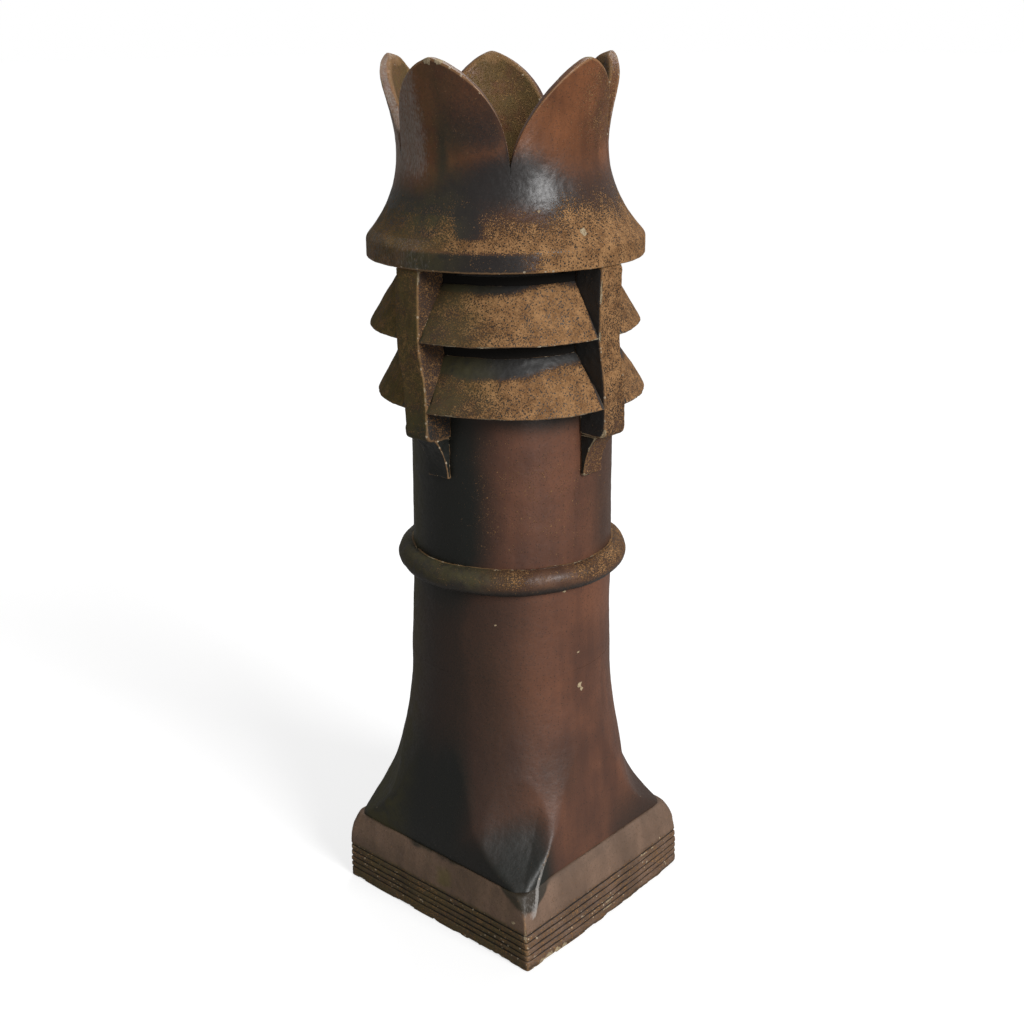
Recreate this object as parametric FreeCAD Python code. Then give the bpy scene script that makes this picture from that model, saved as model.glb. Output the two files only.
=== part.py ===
"""A louvred, crown-topped salt-glazed stoneware chimney pot, kept as a garden ornament.

Millimetres, +Z up. The origin is the centre of the plinth's underside.
The plinth's sides run along X and Y; the piers stand over the middles of its sides
and the louvred bays face its corners.
"""
import FreeCAD
import Part
import math
import os

V = FreeCAD.Vector
Z_AXIS = V(0, 0, 1)
ORIGIN = V(0, 0, 0)

# Plinth: a square, open slab box with five combed grooves and a rounded shoulder.
plinth_side = 305.0
plinth_wall = 24.0
plinth_height = 95.0
plinth_bore_corner = 30.0
plinth_corner_wear = 0.8
groove_heights = (14.0, 22.0, 30.0, 39.0, 48.0)
groove_width = 3.2
groove_depth = 2.4
shoulder_start = 52.0
shoulder_inset = 8.5
shoulder_corner_inset = 17.0

# Flared base: flat faces and four broached corners that die away into a round barrel.
# Each profile is (distance from the axis, height).
base_top = 340.0
base_wall = 15.0
face_profile = ((142.0, 95.0), (142.0, 140.0), (134.5, 200.0), (131.5, 245.0), (131.0, 345.0))
broach_profile = (
    (194.5, 95.0),
    (170.5, 120.0),
    (154.5, 144.0),
    (145.5, 172.0),
    (138.5, 214.0),
    (137.0, 345.0),
)
round_profile = (
    (197.0, 95.0),
    (175.0, 120.0),
    (159.5, 144.0),
    (150.0, 172.0),
    (139.0, 212.0),
    (126.8, 284.0),
    (124.3, 340.0),
)
hollow_neck = ((119.0, 228.0), (110.0, 284.0))

# Barrels: two thrown tubes that meet behind the bead.
flue_radius = 105.0
barrel_foot_radius = round_profile[-1][0]
barrel_waist = (122.2, 400.0)
barrel_middle_radius = 121.3
barrel_radius = 120.0
bead_height = 463.5
barrel_neck_height = 560.0
barrel_top = 868.0

# Bead ring: a rolled coil.
bead_reach = 18.2
bead_half_height = 15.5
bead_seat = 4.0

# Louvred lantern.
bay_count = 4
rim_underside = 823.5
louvre_lip_radius = 157.5
louvre_half_angle = 42.0
louvre_top_edges = {"upper": 807.0, "lower": 728.0}
louvre_lip_heights = {"upper": 746.0, "lower": 666.5}
louvre_thickness = 9.5
louvre_root = 12.0
louvre_lip_share = 0.25
window_half_angle = 30.0
window_spans = {"upper": (815.0, 856.0), "lower": (736.0, 788.0)}

# Piers and the corbels that carry them.
pier_width = 36.0
pier_reach = 156.0
pier_foot = 632.0
pier_toe_round = 9.0
pier_edge_round = 2.0
corbel_width = 32.0
corbel_foot = 583.0
corbel_head_reach = 143.0
corbel_foot_reach = 125.0
corbel_bow = 5.0

# Crown: a thrown bell with a drip rim, its lip cut into five petals.
rim_radius = 159.0
rim_top = 847.0
rim_wall = 14.0
rim_chamfer = 1.5
rim_chamfer_drop = 3.0
seat_margin = 3.0
bell_profile = ((139.5, 870.0), (124.8, 900.0), (118.5, 940.0), (123.4, 980.0), (133.0, 1018.0))
hollow_spread = 930.0
bell_hollow = ((110.9, 980.0), (120.5, 1018.0))
lip_radius = 137.5
lip_wall = 12.5
crown_top = 1040.0
petal_count = 5
notch_height = 923.5
notch_kerf = 0.8
petal_tip_half_width = 2.0
first_notch_azimuth = 46.0

# How far cutting tools run past what they cut.
clear = 20.0

SIDES = (("front", 270.0), ("right", 0.0), ("back", 90.0), ("left", 180.0))
BAYS = (("front_right", -45.0), ("back_right", 45.0), ("back_left", 135.0), ("front_left", 225.0))


def save(shape, node):
    """Write one node, turning a one-solid compound into its plain solid."""
    solids = shape.Solids
    result = solids[0] if len(solids) == 1 else Part.makeCompound(solids)
    result.exportStep("parts/%s.step" % node)
    print(node, len(solids), "solid, volume", round(result.Volume / 1000.0, 1), "cm3", result.isValid())


def curve_xz(points):
    """A smooth curve through (distance, height) points, drawn in the XZ plane."""
    curve = Part.BSplineCurve()
    curve.interpolate([V(r, 0, z) for r, z in points])
    return curve.toShape()


def line_xz(*points):
    """Straight edges through (distance, height) points, drawn in the XZ plane."""
    corners = [V(r, 0, z) for r, z in points]
    return [Part.makeLine(a, b) for a, b in zip(corners, corners[1:])]


def revolve(edges, angle=360.0):
    """Turn a closed outline in the XZ plane about the Z axis."""
    face = Part.Face(Part.Wire(Part.__sortEdges__(edges)))
    return face.revolve(ORIGIN, Z_AXIS, angle)


def turned(shape, azimuth):
    """A copy turned about Z, with azimuth measured from +X towards +Y."""
    copy = shape.copy()
    copy.rotate(ORIGIN, Z_AXIS, azimuth)
    return copy


def outline_below(side_edges, foot, head):
    """Close a side profile with the axis, giving a half outline."""
    foot_radius, foot_z = foot
    head_radius, head_z = head
    closing = line_xz((head_radius, head_z), (0, head_z), (0, foot_z), (foot_radius, foot_z))
    return list(side_edges) + closing


def four_sided(side_edges, foot, head, azimuth=0.0):
    """A tower whose four sides all follow one profile: two crossed extrusions in common."""
    length = 3.0 * plinth_side
    half = Part.Face(Part.Wire(Part.__sortEdges__(outline_below(side_edges, foot, head))))
    slab = half.extrude(V(0, length, 0))
    slab.translate(V(0, -length / 2.0, 0))
    slab = slab.fuse(turned(slab, 180.0)).removeSplitter()
    return turned(slab.common(turned(slab, 90.0)), azimuth)


def round_tower(profile):
    """A solid of revolution whose side is a smooth curve through the profile."""
    return revolve(outline_below([curve_xz(profile)], profile[0], profile[-1]))


def smooth_four_sided(profile, azimuth=0.0):
    return four_sided([curve_xz(profile)], profile[0], profile[-1], azimuth)


def shoulder_arc(start, inset, top):
    """The rounded shoulder, upright where it starts and leaning in by inset at its top."""
    rise = top - shoulder_start
    radius = (rise * rise + inset * inset) / (2.0 * inset)
    half_angle = math.asin(rise / radius) / 2.0
    middle_r = start - radius * (1.0 - math.cos(half_angle))
    middle_z = shoulder_start + radius * math.sin(half_angle)
    points = (V(start, 0, shoulder_start), V(middle_r, 0, middle_z), V(start - inset, 0, top))
    return Part.Arc(*points).toShape()


def make_plinth():
    half = plinth_side / 2.0
    outline = [(half, 0.0)]
    for height in groove_heights:
        outline.append((half, height - groove_width / 2.0))
        outline.append((half - groove_depth, height))
        outline.append((half, height + groove_width / 2.0))
    outline.append((half, shoulder_start))
    side = line_xz(*outline) + [shoulder_arc(half, shoulder_inset, plinth_height)]
    block = four_sided(side, (half, 0.0), (half - shoulder_inset, plinth_height))

    diagonal = half * math.sqrt(2.0) - plinth_corner_wear
    corner = line_xz((diagonal, 0.0), (diagonal, shoulder_start))
    corner.append(shoulder_arc(diagonal, shoulder_corner_inset, plinth_height))
    corner_top = (diagonal - shoulder_corner_inset, plinth_height)
    worn = revolve(outline_below(corner, (diagonal, 0.0), corner_top))

    bore_side = plinth_side - 2.0 * plinth_wall
    bore = Part.makeBox(bore_side, bore_side, plinth_height, V(-bore_side / 2.0, -bore_side / 2.0, 0))
    upright = [e for e in bore.Edges if abs(e.Vertexes[0].Z - e.Vertexes[-1].Z) > 1.0]
    bore = bore.makeFillet(plinth_bore_corner, upright)
    return block.common(worn).cut(bore)


def make_flared_base():
    body = smooth_four_sided(face_profile)
    body = body.common(smooth_four_sided(broach_profile, 45.0))
    body = body.common(round_tower(round_profile))
    hollow = smooth_four_sided(inset(face_profile, base_wall))
    hollow = hollow.common(round_tower(hollow_profile()))
    return body.cut(hollow)


def inset(profile, amount):
    """The same profile, nearer the axis by amount."""
    return tuple((distance - amount, z) for distance, z in profile)


def hollow_profile():
    """The hollow's round profile: it follows the broaches and ends at the flue's radius."""
    foot = inset(broach_profile[:4], base_wall)
    return foot + hollow_neck + ((flue_radius, base_top),)


def make_lower_barrel():
    foot = (barrel_foot_radius, base_top)
    head = (barrel_middle_radius, bead_height)
    side = curve_xz((foot, barrel_waist, head))
    solid = revolve(outline_below([side], foot, head))
    flue = Part.makeCylinder(flue_radius, bead_height - base_top, V(0, 0, base_top))
    return solid.cut(flue)


def upper_barrel_envelope():
    """The upper barrel without its flue or windows: a slight cone under a plain cylinder."""
    foot = (barrel_middle_radius, bead_height)
    head = (barrel_radius, barrel_top)
    return revolve(outline_below(line_xz(foot, (barrel_radius, barrel_neck_height), head), foot, head))


def sector(inner, outer, low, high, half_angle, azimuth):
    """A block of a ring between two radii and two heights, centred on an azimuth."""
    edges = line_xz((inner, low), (outer, low), (outer, high), (inner, high), (inner, low))
    return turned(revolve(edges, 2.0 * half_angle), azimuth - half_angle)


def make_upper_barrel(envelope):
    flue = Part.makeCylinder(flue_radius, barrel_top - bead_height, V(0, 0, bead_height))
    barrel = envelope.cut(flue)
    inner = flue_radius - clear
    outer = barrel_radius + clear
    for low, high in window_spans.values():
        for _, azimuth in BAYS:
            barrel = barrel.cut(sector(inner, outer, low, high, window_half_angle, azimuth))
    return barrel


def make_bead_ring():
    """A rolled coil, round outside and flat where it hugs the barrels."""
    low = bead_height - bead_half_height
    high = bead_height + bead_half_height
    face = barrel_middle_radius
    seat = face - bead_seat
    middle = V(face + bead_reach, 0, bead_height)
    outer = Part.Arc(V(face, 0, low), middle, V(face, 0, high)).toShape()
    flat = line_xz((face, high), (seat, high), (seat, low), (face, low))
    return revolve([outer] + flat)


def make_pier(envelope):
    """One upright slab, standing out along +X from the barrel to just inside the rim."""
    height = rim_underside - pier_foot
    block = Part.makeBox(pier_reach, pier_width, height, V(0, -pier_width / 2.0, pier_foot))
    outer_edges = [e for e in block.Edges if min(v.X for v in e.Vertexes) > pier_reach - 0.1]
    toe = [e for e in outer_edges if max(v.Z for v in e.Vertexes) < pier_foot + 0.1]
    block = block.makeFillet(pier_toe_round, toe)
    uprights = [
        e
        for e in block.Edges
        if min(v.X for v in e.Vertexes) > pier_reach - 0.1
        and abs(e.Vertexes[0].Z - e.Vertexes[-1].Z) > height / 2.0
    ]
    block = block.makeFillet(pier_edge_round, uprights)
    return outside_only(block.cut(envelope))


def outside_only(shape):
    """The solid on the outside of the barrel, without what is left of it beyond the axis."""
    return max(shape.Solids, key=lambda solid: solid.CenterOfMass.x)


def make_corbel(envelope):
    """One bracket with a hollowed front, under the pier along +X."""
    low_z, high_z = corbel_foot, pier_foot
    middle = V(
        (corbel_head_reach + corbel_foot_reach) / 2.0 - corbel_bow,
        0,
        (low_z + high_z) / 2.0,
    )
    front = Part.Arc(V(corbel_foot_reach, 0, low_z), middle, V(corbel_head_reach, 0, high_z)).toShape()
    inner = flue_radius - clear
    edges = [front] + line_xz(
        (corbel_head_reach, high_z), (inner, high_z), (inner, low_z), (corbel_foot_reach, low_z)
    )
    face = Part.Face(Part.Wire(Part.__sortEdges__(edges)))
    block = face.extrude(V(0, corbel_width, 0))
    block.translate(V(0, -corbel_width / 2.0, 0))
    return outside_only(block.cut(envelope))


def make_louvre(tier, azimuth, envelope, piers):
    """A conical blade that slopes out and down from the barrel and ends against two piers."""
    top = louvre_top_edges[tier]
    lip = louvre_lip_heights[tier]
    run = louvre_lip_radius - barrel_radius
    fall = top - lip
    slope = math.hypot(run, fall)
    in_r = -louvre_thickness * fall / slope
    in_z = -louvre_thickness * run / slope
    head = (barrel_radius - louvre_root * run / slope, top + louvre_root * fall / slope)
    outline = line_xz(
        head,
        (louvre_lip_radius, lip),
        (louvre_lip_radius + in_r, lip + in_z * louvre_lip_share),
        (head[0] + in_r, head[1] + in_z),
        head,
    )
    blade = turned(revolve(outline, 2.0 * louvre_half_angle), azimuth - louvre_half_angle)
    blade = blade.cut(envelope)
    for pier in piers:
        blade = blade.cut(pier)
    outward = V(math.cos(math.radians(azimuth)), math.sin(math.radians(azimuth)), 0)
    return max(blade.Solids, key=lambda solid: solid.CenterOfMass.dot(outward))


def petal_notch():
    """The gap between two petals, cut along +X: two arcs that rise upright and spread."""
    spread = lip_radius * math.sin(math.pi / petal_count) - petal_tip_half_width
    rise = crown_top - notch_height
    radius = (spread * spread + rise * rise) / (2.0 * spread)
    half_angle = math.asin(rise / radius) / 2.0
    middle_y = radius * (1.0 - math.cos(half_angle))
    middle_z = notch_height + radius * math.sin(half_angle)
    edges = []
    for sign in (1.0, -1.0):
        start = V(0, sign * notch_kerf, notch_height)
        middle = V(0, sign * (middle_y + notch_kerf), middle_z)
        end = V(0, sign * (spread + notch_kerf), crown_top)
        edges.append(Part.Arc(start, middle, end).toShape())
        edges.append(Part.makeLine(end, V(0, end.y, crown_top + clear)))
    edges.append(Part.makeLine(V(0, notch_kerf, notch_height), V(0, -notch_kerf, notch_height)))
    far = spread + notch_kerf
    edges.append(Part.makeLine(V(0, far, crown_top + clear), V(0, -far, crown_top + clear)))
    face = Part.Face(Part.Wire(Part.__sortEdges__(edges)))
    return face.extrude(V(2.0 * lip_radius, 0, 0))


def make_crown():
    shoulder = (rim_radius - rim_chamfer, rim_top)
    lip = (lip_radius, crown_top)
    inner_lip = (lip_radius - lip_wall, crown_top)
    seat = (flue_radius, barrel_top)
    spread = (flue_radius, hollow_spread)
    skirt_inner = rim_radius - rim_wall

    edges = [curve_xz((shoulder,) + bell_profile + (lip,))]
    edges += line_xz(lip, inner_lip)
    edges.append(curve_xz((spread,) + bell_hollow + (inner_lip,)))
    edges += line_xz(
        spread,
        seat,
        (barrel_radius + seat_margin, barrel_top),
        (skirt_inner, rim_top - seat_margin),
        (skirt_inner, rim_underside),
        (rim_radius, rim_underside),
        (rim_radius, rim_top - rim_chamfer_drop),
        shoulder,
    )
    crown = revolve(edges)
    for i in range(petal_count):
        azimuth = first_notch_azimuth - 90.0 + 360.0 * i / petal_count
        crown = crown.cut(turned(petal_notch(), azimuth))
    return crown


def main():
    os.makedirs("parts", exist_ok=True)
    save(make_plinth(), "plinth")
    save(make_flared_base(), "flared_base")

    lower_barrel = make_lower_barrel()
    envelope = upper_barrel_envelope()
    upper_barrel = make_upper_barrel(envelope)
    save(lower_barrel, "lower_barrel")
    save(upper_barrel, "upper_barrel")
    save(make_bead_ring().cut(lower_barrel).cut(upper_barrel), "bead_ring")

    pier = make_pier(envelope)
    corbel = make_corbel(envelope)
    piers = []
    for side, azimuth in SIDES:
        piers.append(turned(pier, azimuth))
        save(piers[-1], "pier_%s" % side)
        save(turned(corbel, azimuth), "corbel_%s" % side)

    for tier in louvre_top_edges:
        for bay, azimuth in BAYS:
            save(make_louvre(tier, azimuth, envelope, piers), "louvre_%s_%s" % (tier, bay))

    save(make_crown(), "crown")


main()
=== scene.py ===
import itertools
import math
from types import SimpleNamespace
import bmesh
import bpy
import numpy as np
from mathutils import Matrix, Vector
from mathutils.bvhtree import BVHTree


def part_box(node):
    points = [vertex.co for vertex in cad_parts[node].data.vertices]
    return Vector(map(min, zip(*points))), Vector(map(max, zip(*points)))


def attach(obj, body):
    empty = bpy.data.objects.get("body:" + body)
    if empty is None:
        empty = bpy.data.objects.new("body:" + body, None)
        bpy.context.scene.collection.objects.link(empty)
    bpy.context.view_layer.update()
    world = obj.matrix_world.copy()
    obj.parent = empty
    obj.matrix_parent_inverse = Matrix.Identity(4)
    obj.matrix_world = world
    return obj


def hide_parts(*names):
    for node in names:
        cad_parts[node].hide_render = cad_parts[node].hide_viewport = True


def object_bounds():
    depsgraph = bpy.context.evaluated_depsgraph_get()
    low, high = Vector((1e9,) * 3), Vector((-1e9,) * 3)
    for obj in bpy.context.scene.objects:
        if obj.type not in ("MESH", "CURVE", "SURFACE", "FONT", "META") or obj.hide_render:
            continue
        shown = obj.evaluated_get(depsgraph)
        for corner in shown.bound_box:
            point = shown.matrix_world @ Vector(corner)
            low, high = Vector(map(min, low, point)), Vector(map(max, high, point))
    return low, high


# A salt-glazed stoneware chimney pot with two tiers of louvres and a petalled crown.
# Every wall is laid out from the frame's own solids, then worn, rippled and glazed.
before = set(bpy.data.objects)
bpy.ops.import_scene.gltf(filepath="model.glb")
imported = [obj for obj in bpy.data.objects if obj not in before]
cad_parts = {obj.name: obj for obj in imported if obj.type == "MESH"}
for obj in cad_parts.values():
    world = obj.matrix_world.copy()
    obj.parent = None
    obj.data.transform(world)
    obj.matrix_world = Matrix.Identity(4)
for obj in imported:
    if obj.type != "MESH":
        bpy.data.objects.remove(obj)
cad_low, cad_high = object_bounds()

MM = 0.001
RIGHT_ANGLE = math.pi / 2

# The middle of each louvred bay, in degrees round from +X.
BAYS = {"front_right": -45, "back_right": 45, "back_left": 135, "front_left": 225}

# The camera, in metres and degrees, on the azimuth it looks from (measured from -Y towards +X).
VIEW_AZIMUTH = 42.29
VIEW_DISTANCE = 1.565
VIEW_HEIGHT = 1.06
VIEW_PITCH = 19.46
VIEW_YAW = 0.07
VIEW_ROLL = -0.6
FOCAL_LENGTH = 47.7


# ---- noise


def ramp(value, start, end):
    """0 before start, 1 after end, with a smooth rise between."""
    share = np.clip((value - start) / (end - start), 0, 1)
    return share * share * (3 - 2 * share)


def fade(value, start, end):
    """1 before start, 0 after end."""
    return 1 - ramp(value, start, end)


def band(value, start, end, soft):
    """1 between start and end, fading to 0 over soft on either side."""
    return ramp(value, start - soft, start + soft) * fade(value, end - soft, end + soft)


# The factors, shifts and widths of a whole-number hash.
AXIS_FACTORS = np.array((374761393, 668265263, 1440662683))
SEED_FACTOR = 974711
MIX_STEPS = ((13, 1274126177), (15, 668265263))
LAST_SHIFT = 16
WORD = 0xFFFFFFFF
HALF_WORD = 0xFFFF


def lattice(corner, seed):
    """A repeatable random number from -1 to 1 for each whole-number point."""
    mixed = (corner * AXIS_FACTORS).sum(axis=1) + seed * SEED_FACTOR
    for shift, factor in MIX_STEPS:
        mixed = (mixed ^ (mixed >> shift)) * factor & WORD
    return ((mixed ^ (mixed >> LAST_SHIFT)) & HALF_WORD) / (0.5 * HALF_WORD) - 1


def noise(points, size, seed):
    """Smooth random values between -1 and 1 that change over a distance of size."""
    scaled = points / size
    cell = np.floor(scaled).astype(np.int64)
    share = ramp(scaled - cell, 0, 1)
    total = np.zeros(len(points))
    for corner in itertools.product((0, 1), repeat=3):
        weight = np.prod(np.where(corner, share, 1 - share), axis=1)
        total += weight * lattice(cell + np.array(corner), seed)
    return total


def fractal(points, size, seed, layers=3):
    """Noise with finer and fainter layers added."""
    total = np.zeros(len(points))
    for layer in range(layers):
        total += noise(points, size / 2**layer, seed + layer) / 2**layer
    return total


def soften(grid, sigma, axis, wrap=False):
    """A Gaussian blur along one axis of a grid."""
    reach = int(math.ceil(3 * sigma))
    pad = [(0, 0)] * grid.ndim
    pad[axis] = (reach, reach)
    padded = np.pad(grid, pad, mode="wrap" if wrap else "edge")
    offsets = np.arange(-reach, reach + 1)
    weights = np.exp(-0.5 * (offsets / sigma) ** 2)
    weights /= weights.sum()
    count = grid.shape[axis]
    total = np.zeros(grid.shape)
    for offset, weight in zip(offsets, weights):
        total += weight * np.take(padded, np.arange(count) + reach + offset, axis=axis)
    return total


def off_axis(points):
    return np.hypot(points[:, 0], points[:, 1])


def facing(points):
    """Degrees round the pot from the side the camera stands on, positive towards its right."""
    azimuth = np.degrees(np.arctan2(points[:, 1], points[:, 0]))
    return (azimuth + 90 - VIEW_AZIMUTH + 180) % 360 - 180


# ---- reading the frame


def solid_of(node):
    """A CAD solid's faces, ready for rays, and the two corners of its box."""
    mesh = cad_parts[node].data
    corners = [v.co for v in mesh.vertices]
    faces = [tuple(p.vertices) for p in mesh.polygons]
    return BVHTree.FromPolygons(corners, faces), *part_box(node)


def sample(tree, azimuths, heights, outside):
    """How far the wall is from the axis, for each height (rows) and azimuth (columns)."""
    far = 1
    grid = np.full((len(heights), len(azimuths)), np.nan)
    for column, azimuth in enumerate(azimuths):
        away = Vector((math.cos(azimuth), math.sin(azimuth), 0))
        for row, z in enumerate(heights):
            level = Vector((0, 0, z))
            start, towards = (level + away * far, -away) if outside else (level, away)
            distance = tree.ray_cast(start, towards)[3]
            if distance is not None and distance < far:
                grid[row, column] = far - distance if outside else distance
    return grid


def profile(tree, heights, outside, azimuths):
    """The wall's mean distance from the axis at each height, over a few azimuths."""
    return np.nanmean(sample(tree, azimuths, heights, outside), axis=1)


def within(heights, low, high, margin=0.1 * MM):
    """The heights, held just inside a solid's flat ends, where a level ray always meets its wall."""
    return np.clip(heights, low.z + margin, high.z - margin)


def levels(low, high, step):
    """Heights from low up to, but not including, high."""
    return np.linspace(low, high, max(1, round((high - low) / step)), endpoint=False)


def even_columns(count):
    return np.arange(count) * 2 * math.pi / count


def square_columns(count):
    """Azimuths that step evenly along the sides of a square, with one at each corner."""
    per_side = count // 4
    along = -1 + 2 * np.arange(per_side) / per_side
    return np.concatenate([np.arctan(along) + side * RIGHT_ANGLE for side in range(4)])


# ---- meshes


def placed(name, data):
    """A new object in the scene."""
    made = bpy.data.objects.new(name, data)
    bpy.context.scene.collection.objects.link(made)
    return made


def new_piece(name, points, quads, extra=()):
    """A mesh of a grid's points and quads, with any extra faces."""
    mesh = bpy.data.meshes.new(name)
    mesh.from_pydata(points.reshape(-1, 3).tolist(), [], quads.reshape(-1, 4).tolist() + list(extra))
    mesh.validate()
    return placed(name, mesh)


def tube(node, azimuths, radius, height, opening=None):
    """A closed wall. Rows go once round its section and columns go once round the pot."""
    points = np.stack([radius * np.cos(azimuths), radius * np.sin(azimuths), height], axis=-1)
    index = np.arange(radius.size).reshape(radius.shape)
    across = np.roll(index, -1, axis=1)
    quads = np.stack([index, across, np.roll(across, -1, axis=0), np.roll(index, -1, axis=0)], axis=-1)
    extra = ()
    if opening is not None:
        kept, extra = opening(index)
        quads = quads[kept]
    return new_piece(node + "_ware", points, quads, extra)


def remeshed(node, voxel, rounds):
    """A copy of a CAD solid with an even skin and softened edges."""
    piece = placed(node + "_ware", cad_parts[node].data.copy())
    modifier = piece.modifiers.new("even", "REMESH")
    modifier.mode = "VOXEL"
    modifier.voxel_size = voxel
    modifier = piece.modifiers.new("soft", "SMOOTH")
    modifier.factor = 0.5
    modifier.iterations = rounds
    graph = bpy.context.evaluated_depsgraph_get()
    made = bpy.data.meshes.new_from_object(piece.evaluated_get(graph))
    piece.modifiers.clear()
    piece.data = made
    return piece


def read_vectors(items, name):
    flat = np.empty(len(items) * 3, np.float32)
    items.foreach_get(name, flat)
    return flat.reshape(-1, 3).astype(float)


def write_points(mesh, points):
    mesh.vertices.foreach_set("co", points.astype(np.float32).ravel())
    mesh.update()


def spread_values(values, edges, rounds):
    """Each point's values, averaged with its neighbours' again and again."""
    count = len(values)
    ends = edges.T.ravel()
    others = edges[:, ::-1].T.ravel()
    share = np.maximum(np.bincount(ends, minlength=count), 1)
    for _ in range(rounds):
        totals = [np.bincount(ends, weights=column, minlength=count) for column in values[others].T]
        values = np.stack(totals, axis=1) / share[:, None]
    return values


def arris(mesh, points, normals, rounds):
    """How far each point stands out of (or, below zero, lies under) the smoothed surface."""
    edges = np.empty(len(mesh.edges) * 2, np.int32)
    mesh.edges.foreach_get("vertices", edges)
    smoothed = spread_values(points, edges.reshape(-1, 2), rounds)
    return ((points - smoothed) * normals).sum(axis=1)


def paint(mesh, name, values):
    attribute = mesh.attributes.new(name, "FLOAT", "POINT")
    attribute.data.foreach_set("value", np.clip(values, 0, 1).astype(np.float32))


# ---- the hand-made shape

# How far the axis has moved towards the camera's right, at a few heights, in millimetres.
LEAN = (
    (0, -4.5), (88, -4.5), (112, -10.5), (130, -10), (160, -8), (240, -5.2), (340, -4.8),
    (400, -3.9), (450, -2), (600, -0.8), (665, -0.9), (700, -2), (735, -7.8), (800, -6.6),
    (840, -5.2), (940, -8.4), (1040, -10),
)

# The length of the lean's steps, in millimetres, and how many of them it is blurred over.
LEAN_STEP = 2
LEAN_BLUR = 6

# How far the barrel is from round and the plinth from its true size, as shares of their width.
OVALITY = 0.004
PLINTH_SWELL = 0.008

# How far the plinth is turned, in degrees, and how far its right face slumps out, in millimetres.
PLINTH_TWIST = 0.8
PLINTH_SLUMP = 7.5

# The crooked pier: the facing of its middle, and how far it is turned out of line, in degrees.
PIER_SLIP_FACING = -42.3
PIER_SLIP = 0.8

# The hard arris on the broached corner nearest the camera: its facing at a few heights, then how
# far it stands out, how wide its flanks are and how round its crest is, in millimetres.
ARRIS_HEIGHTS = (64, 95, 131, 155, 207)
ARRIS_FACINGS = (6, 9.6, 16.6, 19.6, 23.4)
ARRIS_LIFT = 4.2
ARRIS_FLANK = 20
ARRIS_ROUND = 1.5

# A chip's depth in millimetres, and the angle in degrees at which shading stops being smooth.
CHIP_DEPTH = 2.2
SHARP_ANGLE = 55


def axis_shift(z):
    """How far the leaning pot's axis has moved at each height."""
    top = LEAN[-1][0]
    fine = np.linspace(0, top, round(top / LEAN_STEP) + 1)
    curve = soften(np.interp(fine, *zip(*LEAN))[None, :], LEAN_BLUR, 1)[0]
    return np.interp(z, fine, curve) * MM


def handmade(points):
    """The lean and ovality, the turned, slumped plinth and the crooked pier."""
    z = points[:, 2] / MM
    turn = -PIER_SLIP * band(facing(points), PIER_SLIP_FACING - 12, PIER_SLIP_FACING + 12, 5)
    turn = turn * band(z, 590, 815, 20)
    turn = np.radians(turn + PLINTH_TWIST * fade(z, 60, 110))
    oval = 1 + OVALITY * noise(points, 0.22, 11) * ramp(z, 60, 140)
    oval += PLINTH_SWELL * fade(z, 84, 130)
    x = (points[:, 0] * np.cos(turn) - points[:, 1] * np.sin(turn)) * oval
    y = (points[:, 0] * np.sin(turn) + points[:, 1] * np.cos(turn)) * oval
    right_face = ramp(points[:, 0], 0.7 * cad_high.x, 0.93 * cad_high.x)
    middle = 1 - 0.55 * (points[:, 1] / cad_high.y) ** 2
    x += PLINTH_SLUMP * MM * right_face * middle * fade(z, 8, 70)
    shift = axis_shift(z)
    view = math.radians(VIEW_AZIMUTH)
    height = np.maximum(points[:, 2], cad_low.z)
    return np.stack([x + shift * math.cos(view), y + shift * math.sin(view), height], axis=1)


def chipped(points, edge, chips):
    """1 where an edge has lost a chip. A higher value of chips breaks more of the edge."""
    patchy = fractal(points, 0.022, 31)
    return ramp(edge * 1.1 + patchy * 0.75 + chips - 1, 0, 0.16) * ramp(edge, 0.1, 0.3)


def weathered(points, normals, broken, relief):
    """The points with the skin's swells and grain added and the chips taken out."""
    facets = 0.6 + 0.4 * noise(points, 0.006, 41)
    swell = fractal(points, 0.03, 51) * relief * MM
    grain = fractal(points, 0.005, 61, 2) * relief * 0.35 * MM
    return points + normals * (swell + grain - broken * facets * CHIP_DEPTH * MM)[:, None]


def finish_piece(piece, node, slot, masks, relief, chips=0, arris_scale=1.2, rounds=8, joints=()):
    """Weathers a piece, paints its masks and puts it in its CAD node's place.

    The edges at the heights in joints are bedded against a neighbour, so they stay whole."""
    mesh = piece.data
    points = read_vectors(mesh.vertices, "co")
    normals = read_vectors(mesh.vertex_normals, "vector")
    proud = arris(mesh, points, normals, rounds) / (arris_scale * MM)
    edge = np.clip(proud, 0, 1)
    for joint in joints:
        edge *= ramp(np.abs(points[:, 2] - joint), 3 * MM, 8 * MM)
    broken = chipped(points, edge, chips)
    points = weathered(points, normals, broken, relief)
    named = masks(points, normals, facing(points), points[:, 2] / MM)
    write_points(mesh, handmade(points))
    mesh.shade_smooth()
    mesh.set_sharp_from_angle(angle=math.radians(SHARP_ANGLE))
    paint(mesh, "chip", np.maximum(broken, named.get("chip", 0)))
    paint(mesh, "edge", edge)
    paint(mesh, "hollow", np.clip(-proud, 0, 1))
    for name in ("crust", "dark", "moss", "worn", "soot", "nick"):
        paint(mesh, name, named.get(name, np.zeros(len(points))))
    mesh.materials.clear()
    mesh.materials.append(MATERIALS[slot])
    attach(piece, "root")
    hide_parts(node)


# ---- masks

# In these masks z is the height in millimetres and side is the facing in degrees. Every mask runs
# from 0 to 1, and its name is the layer that it uncovers.

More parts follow.
